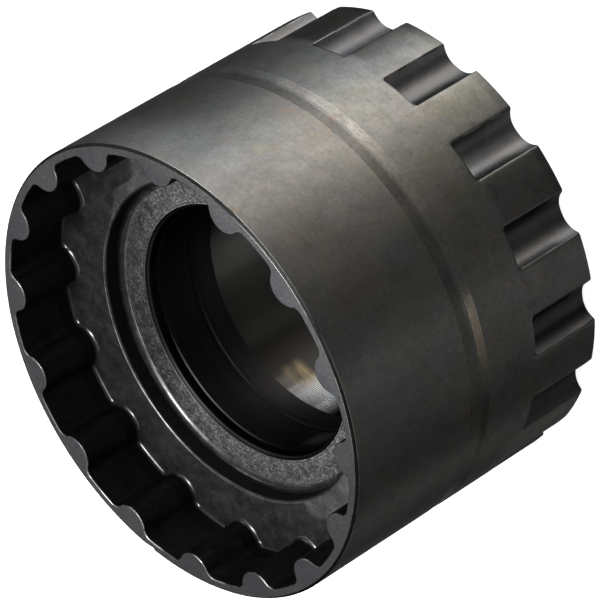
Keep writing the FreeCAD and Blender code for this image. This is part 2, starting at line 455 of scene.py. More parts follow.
    # 7. up the bore
    bore = corner([
        (inner_r + .08, 0.0, 0, 0, 1),
        (inner_r, 0.0, 0.05, 2, 1),
        (REAR_BORE_R, REAR_BORE_CHAMFER, 0.05, 2, 3),
        (REAR_BORE_R, top(REAR_BORE_DEPTH) - .02, 0.02, 1, 1),
        (BORE_R, top(REAR_BORE_DEPTH), 0.04, 2, 1),
        (BORE_R, top(RELIEF_DEPTH + RELIEF_WIDTH / 2), 0.05, 2, 1),
        (BORE_R + RELIEF_CUT, top(RELIEF_DEPTH + RELIEF_WIDTH / 4), 0.08, 3, 1),
        (BORE_R + RELIEF_CUT, top(RELIEF_DEPTH - RELIEF_WIDTH / 8), 0.08, 3, 1),
        (BORE_R, top(RELIEF_DEPTH - RELIEF_WIDTH / 2), 0.10, 2, 2),
        (BORE_R, top(LEDGE_DEPTH + (ENTRY_R - BORE_R)), 0.06, 3, 1),
        (ENTRY_R, top(LEDGE_DEPTH), 0.06, 3, 1),
        (ENTRY_R, top(LAND_DEPTH + ENTRY_CHAMFER), 0.05, 3, 1),
        (ENTRY_R + ENTRY_CHAMFER, top(LAND_DEPTH), 0.05, 3, 3),
        (STEP_R, top(LAND_DEPTH), LAND_FILLET, 8, 1),
        (STEP_R, top(SEAT_DEPTH + STEP_EDGE), 0, 0, 1),
    ])[1:]
    for i, (r, z) in enumerate(bore):
        if z > top(LAND_DEPTH) - 1e-6 and r > ENTRY_R + ENTRY_CHAMFER - .02:
            name = "step"
            if z < top(LAND_DEPTH) + LAND_FILLET - 1e-6:
                name = "land_fillet"
            if z < top(LAND_DEPTH) + 1e-6:
                name = "land"
        elif z < top(REAR_BORE_DEPTH) - 1e-6:
            name = "rear_bore"
        elif z > top(LEDGE_DEPTH) - .2:
            name = "entry"
        else:
            name = "bore"
        w = 0.0
        if name == "entry":
            w = .3
        add(ring_of(r, z, UNI), name, w)
    # 8. round the step's top and across the seat to the lobes
    c = (STEP_R + STEP_EDGE, top(SEAT_DEPTH + STEP_EDGE))
    for k, b in enumerate(np.linspace(0, math.pi / 2, 6)[1:]):
        add(ring_of(c[0] - STEP_EDGE * math.cos(b), c[1] + STEP_EDGE * math.sin(b), UNI), "step_edge",
            [.3, .6, .8, .6, .2][k])
    foot = lobed(-SEAT_FILLET)
    foot = np.column_stack([foot, np.full(COLS, z_seat)])
    inner_ring = rows[-1].copy()
    for f in (0.12, 0.45, 0.8):
        q = inner_ring * (1 - f) + foot * f
        q[:, 2] = z_seat
        add(q, "seat")
    for b in np.linspace(0, math.pi / 2, 7):
        g = -SEAT_FILLET * (1 - math.sin(b))
        z = z_seat + SEAT_FILLET * (1 - math.cos(b))
        add(np.column_stack([lobed(g), np.full(COLS, z)]), "seat_fillet")
    for z in (z_seat + 1.6, z_seat + 3.2, z_seat + 4.8):
        add(np.column_stack([lobe0, np.full(COLS, z)]), "socket")

    nr = len(rows)
    v = np.vstack(rows)
    # a small dent in the rim: it deepens slowly and ends in a step
    a = np.degrees(np.arctan2(v[:, 1], v[:, 0])) % 360
    r = np.hypot(v[:, 0], v[:, 1])
    dent = 0.17 * np.clip((a - 226.6) / 3.3, 0, 1) ** 1.3 * np.clip((230.6 - a) / 0.5, 0, 1)
    dent = dent * np.clip((v[:, 2] - 29.35) / 0.6, 0, 1) * (r > 21.5)
    v[:, :2] *= (1 - dent / r)[:, None]
    ii, jj = np.meshgrid(np.arange(nr), np.arange(COLS), indexing="ij")
    i2, j2 = (ii + 1) % nr, (jj + 1) % COLS
    a, b, c2, d2 = ii * COLS + jj, i2 * COLS + jj, i2 * COLS + j2, ii * COLS + j2
    quads = np.stack([a, b, c2, d2], -1).reshape(-1, 4)
    fz = np.repeat(np.arange(nr), COLS)
    return v, quads, {"rows": nr, "zone": zone, "wear": np.concatenate(wear), "face_row": fz}


# ---- the steel body ----------------------------------------------------------
def vertex_normals(v, q):
    """Vertex normals weighted by face area, so that flats stay flat beside the
    narrow rounded edges."""
    a, b, c, d = (v[q[:, i]] for i in range(4))
    n = np.cross(c - a, d - b)
    out = np.zeros_like(v)
    for i in range(4):
        np.add.at(out, q[:, i], n)
    return out / np.maximum(np.linalg.norm(out, axis=1), 1e-12)[:, None]


# 0 turned outside, 1 ground mouth face, 2 milled notches, 3 seat and its
# fillets, 4 bore, 5 walls of the recess, 6 land, 7 mouth chamfer, 8 bore entry
ZONE_MATERIAL = {
    "wall": 0, "ring": 0, "rear": 0, "face": 1, "rim": 1, "chamfer": 7,
    "front": 0, "notched": 0, "rear_bore": 4, "bore": 4, "entry": 8,
    "land": 6, "land_fillet": 3, "step": 5, "step_edge": 3, "seat": 3, "seat_fillet": 3, "socket": 5,
}


def tool_mesh():
    v, q, info = build_tool()
    nor = vertex_normals(v, q)
    row = info["face_row"]
    mat = np.array([ZONE_MATERIAL[z] for z in info["zone"]])[row]
    # columns inside the notches are milled
    col = np.tile(np.arange(COLS), info["rows"])
    off = (col % M) - (HALF - 1)
    inside = (off >= -(N_TR - 1)) & (off < N_TR - 1)
    cut = np.array([z in ("front", "notched") for z in info["zone"]])[row]
    mat[cut & inside] = 2
    me = bpy.data.meshes.new("tool_steel")
    me.vertices.add(len(v))
    me.vertices.foreach_set("co", (v * 0.001).astype(np.float32).ravel())
    me.loops.add(q.size)
    me.loops.foreach_set("vertex_index", q.astype(np.int32).ravel())
    me.polygons.add(len(q))
    me.polygons.foreach_set("loop_start", (np.arange(len(q)) * 4).astype(np.int32))
    me.polygons.foreach_set("material_index", mat.astype(np.int32))
    me.polygons.foreach_set("use_smooth", np.ones(len(q), bool))
    me.update(calc_edges=True)
    wear = me.attributes.new("wear", "FLOAT", "POINT")
    wear.data.foreach_set("value", info["wear"].astype(np.float32))
    me.validate()
    me.normals_split_custom_set_from_vertices(nor.astype(np.float32))
    return me


# ---- materials ---------------------------------------------------------------
class Nodes:
    """A short way to write a material's nodes."""

    def __init__(self, name):
        self.mat = bpy.data.materials.new(name)
        self.mat.use_nodes = True
        self.t = self.mat.node_tree
        self.t.nodes.clear()
        self.out = self.t.nodes.new("ShaderNodeOutputMaterial")
        self.p = self.t.nodes.new("ShaderNodeBsdfPrincipled")
        self.t.links.new(self.p.outputs[0], self.out.inputs[0])
        # an oxide skin gains less at a grazing angle than bare metal
        self.p.inputs["Specular Tint"].default_value = (0.45, 0.45, 0.45, 1.0)
        self.obj = self.t.nodes.new("ShaderNodeTexCoord").outputs["Object"]
        self.sep = self.t.nodes.new("ShaderNodeSeparateXYZ")
        self.link(self.obj, self.sep.inputs[0])

    def link(self, a, b):
        self.t.links.new(a, b)

    def put(self, socket, value):
        if isinstance(value, bpy.types.NodeSocket):
            self.link(value, socket)
        else:
            socket.default_value = value

    def math(self, op, a, b=0.0, c=0.0, clamp=False):
        n = self.t.nodes.new("ShaderNodeMath")
        n.operation = op
        n.use_clamp = clamp
        for s, x in zip(n.inputs, (a, b, c)):
            self.put(s, x)
        return n.outputs[0]

    def scaled(self, sx, sy, sz, off=(0, 0, 0)):
        n = self.t.nodes.new("ShaderNodeVectorMath")
        n.operation = "MULTIPLY_ADD"
        self.link(self.obj, n.inputs[0])
        n.inputs[1].default_value = (sx, sy, sz)
        n.inputs[2].default_value = off
        return n.outputs[0]

    def noise(self, vec, scale=1.0, detail=2.0, rough=0.5, dist=0.0, colour=False):
        n = self.t.nodes.new("ShaderNodeTexNoise")
        self.put(n.inputs["Vector"], vec)
        n.inputs["Scale"].default_value = scale
        n.inputs["Detail"].default_value = detail
        n.inputs["Roughness"].default_value = rough
        n.inputs["Distortion"].default_value = dist
        return n.outputs[1 if colour else 0]

    def voronoi(self, vec, scale=1.0, feature="F1"):
        n = self.t.nodes.new("ShaderNodeTexVoronoi")
        n.feature = feature
        self.put(n.inputs["Vector"], vec)
        n.inputs["Scale"].default_value = scale
        return n.outputs["Distance"]

    def ramp(self, x, a, b, lo=0.0, hi=1.0, smooth=True):
        n = self.t.nodes.new("ShaderNodeMapRange")
        n.interpolation_type = "SMOOTHSTEP" if smooth else "LINEAR"
        self.put(n.inputs[0], x)
        for i, val in enumerate((a, b, lo, hi)):
            n.inputs[i + 1].default_value = val
        return n.outputs[0]

    def mix(self, fac, a, b, mode="MIX"):
        n = self.t.nodes.new("ShaderNodeMix")
        n.data_type = "RGBA"
        n.blend_type = mode
        self.put(n.inputs[0], fac)
        for s, x in ((n.inputs[6], a), (n.inputs[7], b)):
            self.put(s, (*x, 1.0) if isinstance(x, tuple) and len(x) == 3 else x)
        return n.outputs[2]

    def wear(self):
        n = self.t.nodes.new("ShaderNodeAttribute")
        n.attribute_name = "wear"
        return n.outputs["Fac"]

    def bump(self, height, distance, strength=1.0, onto=None):
        n = self.t.nodes.new("ShaderNodeBump")
        n.inputs["Strength"].default_value = strength
        n.inputs["Distance"].default_value = distance
        self.link(height, n.inputs["Height"])
        if onto is not None:
            self.link(onto, n.inputs["Normal"])
        return n.outputs[0]


def tinted(n, dark, tones, scale, seed):
    """A base colour that drifts between tones in soft patches."""
    col = tones[0]
    for k, tone in enumerate(tones[1:]):
        f = n.noise(n.scaled(scale, scale, scale, (seed + 7.3 * k, 3.1 * k, 1.7 * k)), detail=3, rough=.55)
        col = n.mix(n.ramp(f, .42, .62), col, tone)
    return col


def shade(n, col, height, lo, hi, a=.3, b=.7):
    """Makes the colour darker and lighter with a height."""
    return n.mix(1.0, col, n.mix(n.ramp(height, a, b), (lo, lo, lo), (hi, hi, hi)), "MULTIPLY")


def worn(n, col, tone, scale=900, a=.40, b=.60, lo=.25, hi=.75):
    """Bare steel where an edge has lost its blacking, in broken stretches."""
    w = n.math("MULTIPLY", n.wear(), n.ramp(n.noise(n.scaled(scale, scale, scale, (3, 5, 1)), detail=3), a, b))
    return n.mix(n.ramp(w, lo, hi), col, tone)


def between(n, x, a, b, soft=.00002):
    """One between two values, nothing outside."""
    return n.math("MULTIPLY", n.ramp(x, a - soft, a + soft), n.ramp(x, b - soft, b + soft, 1, 0))


def towards(n, deg):
    """Distance from the axis plane towards a direction, -0.022 to 0.022 m."""
    a = math.radians(deg)
    return n.math("ADD", n.math("MULTIPLY", n.sep.outputs[0], math.cos(a)),
                  n.math("MULTIPLY", n.sep.outputs[1], math.sin(a)))


def patch(n, col, where, factor):
    """The colour times a factor, where a mask says so."""
    return n.mix(where, col, n.mix(1.0, col, (factor, factor, factor), "MULTIPLY"))


def turned_lines(n, pitch, wander=.6):
    """Tool marks round the axis: a wave along Z, a little uneven."""
    drift = n.noise(n.scaled(18, 18, 900), detail=2, rough=.6)
    ph = n.math("ADD", n.math("MULTIPLY", n.sep.outputs[2], 2 * math.pi / pitch), n.math("MULTIPLY", drift, wander * 9))
    return n.math("MULTIPLY_ADD", n.math("SINE", ph), .5, .5)


def turned_steel():
    n = Nodes("turned_blackened_steel")
    z = n.sep.outputs[2]
    col = tinted(n, None, [(.106, .105, .100), (.110, .104, .097), (.104, .105, .096), (.103, .103, .102)], 130, 2.0)
    stain = n.noise(n.scaled(420, 420, 300, (1, 2, 8)), detail=4, rough=.6, dist=.6)
    col = shade(n, col, stain, .92, 1.05, .35, .62)
    # painted highlight and shade: the colour is lighter along the mouth on one side,
    # darker beside that and on the teeth below it, lighter low down on one side
    col = patch(n, col, n.math("MULTIPLY", n.ramp(z, .0220, .0285), n.ramp(towards(n, 84), .01936, .02266)), 1.98)
    col = patch(n, col, n.math("MULTIPLY", n.ramp(z, .0195, .0265), n.ramp(towards(n, 34), .0210, .0218)), .80)
    col = patch(n, col, n.math("MULTIPLY", n.ramp(z, .0130, .0185, 1, 0), n.ramp(towards(n, 60), .0189, .0205)), 1.10)
    teeth = n.ramp(z, .0068, .0078, 1, 0)
    col = patch(n, col, n.math("MULTIPLY", teeth, n.ramp(towards(n, 90), .0172, .0198)), .43)
    col = patch(n, col, n.math("MULTIPLY", teeth, n.ramp(towards(n, 12), .0214, .0218)), .76)
    col = patch(n, col, n.math("MULTIPLY", n.ramp(z, .0075, .0115, 1, 0), n.ramp(towards(n, -60), .0216, .0219)), 2.0)
    fine = n.noise(n.scaled(2600, 2600, 2600), detail=3, rough=.65)
    col = shade(n, col, fine, .92, 1.08)
    # brown and olive bloom in small soft spots
    bloom = n.noise(n.scaled(520, 520, 520, (4, 9, 3)), detail=3, rough=.6)
    col = n.mix(1.0, col, n.mix(n.ramp(bloom, .58, .72, 0, .7), (1, 1, 1), (1.17, .99, .86)), "MULTIPLY")
    olive = n.noise(n.scaled(260, 260, 260, (14, 2, 7)), detail=3, rough=.6)
    col = n.mix(1.0, col, n.mix(n.ramp(olive, .55, .72, 0, .7), (1, 1, 1), (1.02, 1.03, .84)), "MULTIPLY")
    specks = n.noise(n.scaled(1100, 1100, 1100, (9, 4, 2)), detail=2, rough=.5)
    col = n.mix(n.ramp(specks, .72, .80, 0, .45), col, (.06, .06, .058))
    lines = n.noise(n.scaled(45, 45, 7000), detail=2, rough=.7)
    coarse = n.noise(n.scaled(30, 30, 2600), detail=1, rough=.5)
    col = shade(n, col, lines, .975, 1.025)
    col = shade(n, col, coarse, .99, 1.01)
    # even cutter lines show in places, and the skin is finely mottled
    weave = turned_lines(n, .00023, .08)
    shows = n.ramp(n.noise(n.scaled(150, 150, 200, (12, 5, 5)), detail=2, rough=.6), .42, .60)
    col = n.mix(shows, col, n.mix(1.0, col, n.mix(weave, (.93, .93, .93), (1.07, 1.07, 1.07)), "MULTIPLY"))
    mottle = n.noise(n.scaled(5200, 5200, 5200, (6, 6, 1)), detail=2, rough=.7)
    col = shade(n, col, mottle, .94, 1.06)
    # flecks and small blooms gather behind the ring
    behind = n.ramp(z, .0100, .0150, 1, 0)
    fleck = n.noise(n.scaled(800, 800, 800, (3, 15, 2)), detail=4, rough=.7)
    col = n.mix(n.math("MULTIPLY", behind, n.ramp(fleck, .50, .68, 0, .8)), col,
                n.mix(1.0, col, (.80, .80, .78), "MULTIPLY"))
    # the shallow ring was cut last: it is finer, with a few tool marks; its front
    # slope and bottom are darker, partly a blacker finish and partly painted shade
    in_ring = between(n, z, .0138, .01618)
    front_half, rear_half = between(n, z, .01508, .01618), between(n, z, .0138, .01474)
    marks = turned_lines(n, .00021, .25)
    col = n.mix(in_ring, col, n.mix(1.0, col, n.mix(marks, (.92, .92, .92), (1.22, 1.22, 1.21)), "MULTIPLY"))
    broken = n.noise(n.scaled(1500, 1500, 6500, (2, 2, 6)), detail=2, rough=.6)
    col = n.mix(in_ring, col, shade(n, col, broken, .86, 1.14))
    col = patch(n, col, front_half, .80)
    # painted shade: the front slope is darker still towards two directions, and the narrow bottom is darker
    col = patch(n, col, n.math("MULTIPLY", front_half, n.ramp(towards(n, 44), .0200, .0208)), .76)
    col = patch(n, col, n.math("MULTIPLY", front_half, n.ramp(towards(n, -9), .0211, .0217)), .82)
    col = patch(n, col, between(n, z, .01478, .01504), .78)
    # painted warm highlight on the rear slope on one side, painted shade on another side
    col = n.mix(n.math("MULTIPLY", rear_half, n.ramp(towards(n, -12), .02158, .02197)), col,
                n.mix(1.0, col, (2.05, 1.80, 1.54), "MULTIPLY"))
    col = patch(n, col, n.math("MULTIPLY", rear_half, n.ramp(towards(n, -60), .0182, .0196)), .68)
    col = worn(n, col, (.092, .091, .088), 600, .36, .64)
    n.link(col, n.p.inputs["Base Color"])
    n.p.inputs["Metallic"].default_value = 1.0
    r = n.ramp(n.noise(n.scaled(700, 700, 700), detail=3), .3, .7, .25, .31)
    n.put(n.p.inputs["Roughness"], n.math("SUBTRACT", r, n.math("MULTIPLY", in_ring, .11)))
    b = n.bump(lines, 0.000001, 1.0)
    b = n.bump(coarse, 0.0000006, 1.0, b)
    b = n.bump(fine, 0.0000022, 1.0, b)
    b = n.bump(n.math("MULTIPLY", marks, in_ring), 0.0000022, 1.0, b)
    n.link(b, n.p.inputs["Normal"])
    return n.mat


def chamfer_steel():
    n = Nodes("chamfer_blackened_steel")
    col = tinted(n, None, [(.052, .051, .050), (.044, .044, .043)], 500, 21.0)
    # painted light: the chamfer's colour is lighter on one side
    col = patch(n, col, n.ramp(towards(n, 115), .0140, .0195), 2.6)
    # the two edges of the chamfer are rubbed bright in long stretches
    stretch = n.ramp(n.noise(n.scaled(130, 130, 130, (6, 1, 2)), detail=3, rough=.7), .38, .54)
    w = n.math("MULTIPLY", n.wear(), n.math("ADD", n.math("MULTIPLY", stretch, .75), .25))
    col = n.mix(n.ramp(w, .25, .75), col, (.46, .455, .44))
    # one stretch of the outer edge is rubbed down to bare steel and carries a painted warm highlight
    rubbed_and_highlit = n.math("MULTIPLY", n.ramp(towards(n, -13), .0211, .0216), n.ramp(n.wear(), .55, .9))
    col = n.mix(n.math("MULTIPLY", rubbed_and_highlit, n.ramp(stretch, 0, .6, .45, 1)), col, (.95, .88, .78))
    n.link(col, n.p.inputs["Base Color"])
    n.p.inputs["Metallic"].default_value = 1.0
    fine = n.noise(n.scaled(3000, 3000, 3000), detail=3, rough=.6)
    n.put(n.p.inputs["Roughness"], n.ramp(fine, .3, .7, .22, .30))
    n.link(n.bump(fine, 0.000004, 1.0), n.p.inputs["Normal"])
    return n.mat


def ground_steel():
    n = Nodes("ground_blackened_steel")
    col = tinted(n, None, [(.098, .100, .106), (.090, .092, .098), (.106, .106, .110)], 260, 5.0)
    # painted light and shade: the face's colour is lighter on one side, darker on another
    col = patch(n, col, n.ramp(towards(n, 25), .0150, .0205), 1.50)
    col = patch(n, col, n.ramp(towards(n, 285), .0070, .0190), .79)
    fine = n.noise(n.scaled(3200, 3200, 3200), detail=3, rough=.65)
    col = shade(n, col, fine, .82, 1.16)
    lines = n.noise(n.scaled(9000, 300, 60), detail=2, rough=.6)
    col = shade(n, col, lines, .95, 1.05)
    col = worn(n, col, (.30, .30, .295), 800, .42, .66, .25, .8)
    # on the low side of the mouth the inner edge is rubbed bright and carries a painted highlight
    rubbed_and_highlit = n.math("MULTIPLY", n.wear(), n.ramp(n.noise(n.scaled(420, 420, 420, (8, 8, 2)), detail=3, rough=.6), .49, .61))
    col = n.mix(n.math("MULTIPLY", n.ramp(rubbed_and_highlit, .3, .8), n.ramp(towards(n, 236), .0165, .0190)), col, (.42, .42, .41))
    n.link(col, n.p.inputs["Base Color"])
    n.p.inputs["Metallic"].default_value = 1.0
    n.put(n.p.inputs["Roughness"], n.ramp(fine, .3, .7, .30, .38))
    n.link(n.bump(lines, 0.000003, 1.0, n.bump(fine, 0.000006, 1.0)), n.p.inputs["Normal"])
    return n.mat


def milled_steel():
    n = Nodes("milled_blackened_steel")
    col = tinted(n, None, [(.063, .064, .067), (.056, .056, .058), (.068, .067, .065)], 300, 9.0)
    fine = n.noise(n.scaled(3000, 3000, 3000), detail=3, rough=.6)
    col = shade(n, col, fine, .90, 1.10)
    # painted light: both flanks of each notch are lighter in colour, one more than the other, where they would lie in
    # shade
    pitches = n.math("MULTIPLY", n.math("ARCTAN2", n.sep.outputs[1], n.sep.outputs[0]), N / (2 * math.pi))
    flank = n.math("SUBTRACT", pitches, n.math("ROUND", pitches))
    col = patch(n, col, n.ramp(flank, -.10, -.24), 1.35)
    col = patch(n, col, n.ramp(flank, .12, .24), 1.8)
    # painted light and shade: lighter all over on one side of the part, darker on the low flanks of the next notches
    col = patch(n, col, n.ramp(towards(n, 60), .0125, .0160), 1.5)
    low_flank = n.ramp(flank, -.02, -.14)
    one, next_one = n.ramp(towards(n, -60), .0175, .0190, 1, 0), n.ramp(towards(n, -60), .0175, .0190)
    side = n.ramp(towards(n, -30), .0194, .0200)
    col = patch(n, col, n.math("MULTIPLY", low_flank, n.math("MULTIPLY", side, one)), .32)
    col = patch(n, col, n.math("MULTIPLY", low_flank, n.math("MULTIPLY", side, next_one)), .55)
    # painted shade: darker round the notches on the upper side, darkest on their low flanks
    above = n.ramp(towards(n, 95), .0196, .0204)
    col = patch(n, col, above, .84)
    col = patch(n, col, n.math("MULTIPLY", n.ramp(flank, .02, -.09), above), .26)
    col = worn(n, col, (.057, .057, .055), 600, .36, .64)
    n.link(col, n.p.inputs["Base Color"])
    n.p.inputs["Metallic"].default_value = 1.0
    n.put(n.p.inputs["Roughness"], n.ramp(fine, .3, .7, .36, .42))
    n.link(n.bump(fine, 0.000004, 1.0), n.p.inputs["Normal"])
    return n.mat


def seat_steel():
    """Smooth pressed surface: a gloss over a dull black ground."""
    n = Nodes("seat_blackened_steel")
    col = tinted(n, None, [(.078, .078, .080), (.070, .070, .072), (.084, .084, .083)], 260, 12.0)
    lump = n.noise(n.scaled(1100, 1100, 1100), detail=4, rough=.6)
    fine = n.noise(n.scaled(5000, 5000, 5000), detail=2, rough=.6)
    blotch = n.noise(n.scaled(380, 380, 380, (3, 3, 9)), detail=4, rough=.6, dist=.5)
    col = shade(n, col, blotch, .76, 1.22, .36, .64)
    col = shade(n, col, lump, .78, 1.22)
    speck = n.noise(n.scaled(3300, 3300, 3300, (7, 2, 9)), detail=2, rough=.7)
    col = shade(n, col, speck, .80, 1.24)
    # painted shade: the fillets' colour fades to near black where they run up into the walls
    z = n.sep.outputs[2]
    keep = n.math("ADD", n.math("MULTIPLY", n.ramp(z, .02396, .02424, 1, 0), n.ramp(z, .02362, .02378)),
                  n.ramp(z, .02210, .02258, 1, 0))
    col = n.mix(keep, (.022, .022, .023), col)
    n.link(col, n.p.inputs["Base Color"])
    n.p.inputs["Metallic"].default_value = 0.76
    n.p.inputs["Specular IOR Level"].default_value = 0.5
    n.put(n.p.inputs["Roughness"], n.ramp(lump, .3, .7, .045, .08))
    n.link(n.bump(fine, 0.000001, 1.0, n.bump(lump, 0.0000042, 1.0)), n.p.inputs["Normal"])
    return n.mat


def recess_steel():
    """Walls of the recess and of the step: deep black, darker than the face, as painted shade."""
    n = Nodes("recess_blackened_steel")
    col = tinted(n, None, [(.044, .044, .045), (.036, .036, .037)], 300, 17.0)
    fine = n.noise(n.scaled(2600, 2600, 2600), detail=3, rough=.6)
    col = shade(n, col, fine, .85, 1.15)
    n.link(col, n.p.inputs["Base Color"])
    n.p.inputs["Metallic"].default_value = 0.9
    n.put(n.p.inputs["Roughness"], n.ramp(fine, .3, .7, .30, .40))
    n.link(n.bump(fine, 0.000006, 1.0), n.p.inputs["Normal"])
    return n.mat


def land_steel():
    """Scaled, grainy ring round the bore."""
    n = Nodes("land_blackened_steel")
    col = tinted(n, None, [(.070, .070, .071), (.062, .062, .064), (.078, .077, .076)], 420, 31.0)
    # painted shade: the land is darker on one side
    col = patch(n, col, n.ramp(towards(n, 160), .0090, .0115), .56)
    grain = n.noise(n.scaled(3600, 3600, 3600), detail=3, rough=.7)
    lump = n.noise(n.scaled(900, 900, 900, (2, 7, 5)), detail=4, rough=.6)
    # grains run a little across the ring, as scale does after pressing
    flake = n.noise(n.scaled(1900, 700, 1300, (8, 3, 1)), detail=3, rough=.6, dist=.4)
    # fine ridges wind over the scale
    wind = n.noise(n.scaled(1500, 1500, 1500, (5, 1, 4)), detail=3, rough=.6, dist=1.4)
    ridge = n.math("ABSOLUTE", n.math("MULTIPLY_ADD", wind, 8.0, -4.0))
    col = shade(n, col, grain, .50, 1.55)
    col = shade(n, col, lump, .70, 1.30)
    col = n.mix(n.ramp(ridge, .05, .34, .9, 0), col, n.mix(1.0, col, (2.5, 2.5, 2.47), "MULTIPLY"))
    rad = n.math("SQRT", n.math("ADD", n.math("MULTIPLY", n.sep.outputs[0], n.sep.outputs[0]),
                                n.math("MULTIPLY", n.sep.outputs[1], n.sep.outputs[1])))
    col = n.mix(n.ramp(rad, .0130, .0142), col, n.mix(1.0, col, (.88, .88, .89), "MULTIPLY"))
    # the cutter touched the ring beside the bore
    turns = n.math("MULTIPLY_ADD", n.math("SINE", n.math("MULTIPLY", rad, 2 * math.pi / .00029)), .5, .5)
    touched = n.ramp(n.math("ADD", rad, n.math("MULTIPLY", lump, .0006)), .01300, .01335, 1, 0)
    col = n.mix(touched, col, n.mix(1.0, col, n.mix(turns, (.62, .62, .62), (1.42, 1.42, 1.42)), "MULTIPLY"))
    n.link(col, n.p.inputs["Base Color"])
    n.p.inputs["Metallic"].default_value = 0.6
    n.put(n.p.inputs["Roughness"], n.ramp(grain, .3, .7, .30, .46))
    b = n.bump(flake, 0.000022, 1.0)
    b = n.bump(n.ramp(ridge, .05, .6, 1, 0), 0.000010, 1.0, b)
    b = n.bump(grain, 0.000009, 1.0, b)
    n.link(b, n.p.inputs["Normal"])
    return n.mat


def entry_steel():
    """Bore's short entry and its chamfer, with fine tool marks."""
    n = Nodes("entry_blackened_steel")
    col = tinted(n, None, [(.044, .044, .045), (.037, .037, .038)], 300, 41.0)
    marks = turned_lines(n, .00021, .2)
    col = shade(n, col, marks, .50, 1.55, 0, 1)
    # painted shade: the entry's colour is much darker deeper in
    low = n.ramp(n.sep.outputs[2], .02135, .02155)
    col = n.mix(low, n.mix(1.0, col, (.28, .28, .28), "MULTIPLY"), col)
    # painted highlight: a bright line along the ledge's edge below it, on one side
    col = n.mix(n.math("MULTIPLY", between(n, n.sep.outputs[2], .02064, .02076), n.ramp(towards(n, 212), .0098, .0119)),
                col, (.082, .082, .081))
    n.link(col, n.p.inputs["Base Color"])
    n.p.inputs["Metallic"].default_value = 0.9
    n.p.inputs["Roughness"].default_value = 0.2
    n.link(n.bump(marks, 0.000002, 1.0), n.p.inputs["Normal"])
    return n.mat


def bored_steel():
    n = Nodes("bored_blackened_steel")
    z = n.sep.outputs[2]
    # painted shade: the front part of the bore is nearly black
    dark = tinted(n, None, [(.0125, .0125, .013), (.010, .010, .0105)], 260, 15.0)
    soft = n.noise(n.scaled(25, 25, 3200), detail=2, rough=.6)
    dark = shade(n, dark, soft, .8, 1.25)
    # a dull worn spot low in the front part
    dark = n.mix(n.math("MULTIPLY", n.math("MULTIPLY", n.ramp(z, .0166, .0182), n.ramp(z, .0188, .0200, 1, 0)),
                        n.ramp(towards(n, 270), .01190, .01203)), dark, (.075, .075, .072))
    # the rear part was bored again, in even fine lines; its colour is lighter on one
    # side and darker round the middle: painted highlight and painted shade
    marks = turned_lines(n, .00021, .12)
    side = n.mix(n.ramp(towards(n, 180), .0110, .0118), (.014, .014, .0135), (.042, .043, .039))
    side = n.mix(n.ramp(towards(n, 150), .0112, .01205), side, (.140, .144, .130))
    side = n.mix(n.ramp(towards(n, 241), .01172, .01214), side, (.170, .170, .170))
    # painted highlight: brighter still behind the front edge, on both sides of the lightest part
    near_edge = n.ramp(z, .0118, .0130)
    side = patch(n, side, n.ramp(towards(n, 256), .0115, .0120), 1.6)
    side = patch(n, side, n.math("MULTIPLY", n.math("MULTIPLY", n.ramp(towards(n, 236), .01154, .01184), near_edge),
                                 n.ramp(towards(n, 236), .01200, .01209, 1, 0)), 2.4)
    tone = n.noise(n.scaled(260, 260, 260, (16, 0, 0)), detail=3, rough=.55)
    pale = shade(n, side, tone, .9, 1.1)
    # a faint amber heat tint in one place
    tint = n.math("MULTIPLY", n.math("MULTIPLY", n.ramp(towards(n, 225), .01198, .01213, 0, .38), n.ramp(z, .0101, .0110)),
                  n.ramp(z, .0122, .0131, 1, 0))
    streak = n.noise(n.scaled(500, 500, 1500, (5, 5, 5)), detail=3, rough=.6)
    pale = n.mix(n.math("MULTIPLY", tint, n.ramp(streak, .38, .62, .3, 1)), pale, (.150, .124, .072))
    pale = shade(n, pale, marks, .70, 1.30, 0, 1)
    rear = n.ramp(z, .01400, .01404, 1, 0)
    col = n.mix(rear, dark, pale)
    n.link(col, n.p.inputs["Base Color"])
    n.put(n.p.inputs["Metallic"], n.ramp(rear, 0, 1, .72, 1.0))
    n.put(n.p.inputs["Roughness"], n.ramp(rear, 0, 1, .34, .24))
    b = n.bump(soft, 0.000006, 1.0)
    b = n.bump(n.math("MULTIPLY", marks, rear), 0.000003, 1.0, b)
    n.link(b, n.p.inputs["Normal"])
    return n.mat


tool = bpy.data.objects.new("tool_steel", tool_mesh())
bpy.context.scene.collection.objects.link(tool)
for m in (turned_steel(), ground_steel(), milled_steel(), seat_steel(), bored_steel(),
          recess_steel(), land_steel(), chamfer_steel(), entry_steel()):
    tool.data.materials.append(m)
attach(tool, "root")
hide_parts("tool_body")


# ---- floor and backdrop ------------------------------------------------------
def disc(name, radius, z, seg=96):
    me = bpy.data.meshes.new(name)
    vs = [(0, 0, z)] + [(radius * math.cos(2 * math.pi * k / seg), radius * math.sin(2 * math.pi * k / seg), z)
                        for k in range(seg)]
    me.from_pydata(vs, [], [(0, 1 + k, 1 + (k + 1) % seg) for k in range(seg)])
    ob = bpy.data.objects.new(name, me)
    bpy.context.scene.collection.objects.link(ob)
    return ob


def dome(name, radius, rings=24, seg=48):
    vs, fs = [], []
    for i in range(rings + 1):
        e = -0.35 + (math.pi / 2 + 0.35) * i / rings
        for k in range(seg):
            a = 2 * math.pi * k / seg
            vs.append((radius * math.cos(e) * math.cos(a), radius * math.cos(e) * math.sin(a), radius * math.sin(e)))
    for i in range(rings):
        for k in range(seg):
            a, b = i * seg + k, i * seg + (k + 1) % seg
            fs.append((a, b, b + seg, a + seg))
    me = bpy.data.meshes.new(name)
    me.from_pydata(vs, [], fs)
    ob = bpy.data.objects.new(name, me)
    bpy.context.scene.collection.objects.link(ob)
    return ob


